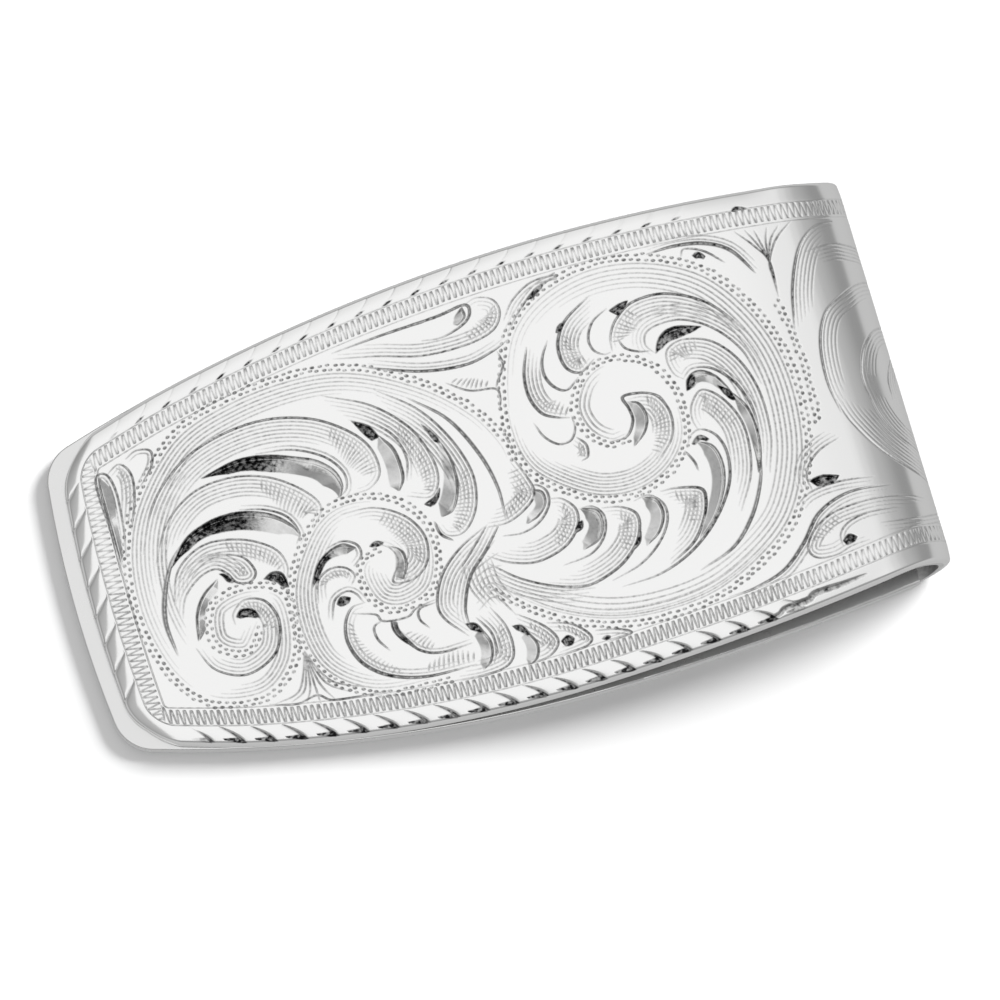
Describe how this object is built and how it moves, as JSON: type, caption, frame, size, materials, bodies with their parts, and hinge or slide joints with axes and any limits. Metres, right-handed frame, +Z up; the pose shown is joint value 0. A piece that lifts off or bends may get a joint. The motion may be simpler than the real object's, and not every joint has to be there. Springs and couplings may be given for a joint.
{
  "type": "money clip",
  "caption": "Folded metal money clip with a wide tapering front leaf, an engraved face and a cut rope edge, springing open at a teardrop bend.",
  "frame": {"origin": "on the table, under the middle of the clip's length and width", "axes": "+X along the clip towards the bend, +Y across it, +Z up through the two leaves"},
  "size_m": [0.058, 0.031, 0.0058],
  "materials": {
    "engraved_silver": "polished",
    "polished_silver": "polished"
  },
  "bodies": {
    "back": {"back_leaf": "polished_silver", "bend": "engraved_silver"},
    "front": {"front_leaf": "engraved_silver"}
  },
  "joints": [
    {"name": "leaf_open", "type": "hinge", "parent": "back", "child": "front", "pos_m": [0.02717, 0, 0.00324], "axis": [0, 1, 0], "range_deg": [0, 8], "stiffness_Nm_per_rad": 6, "springref_deg": -1.15, "deforming": ["bend"]}
  ]
}
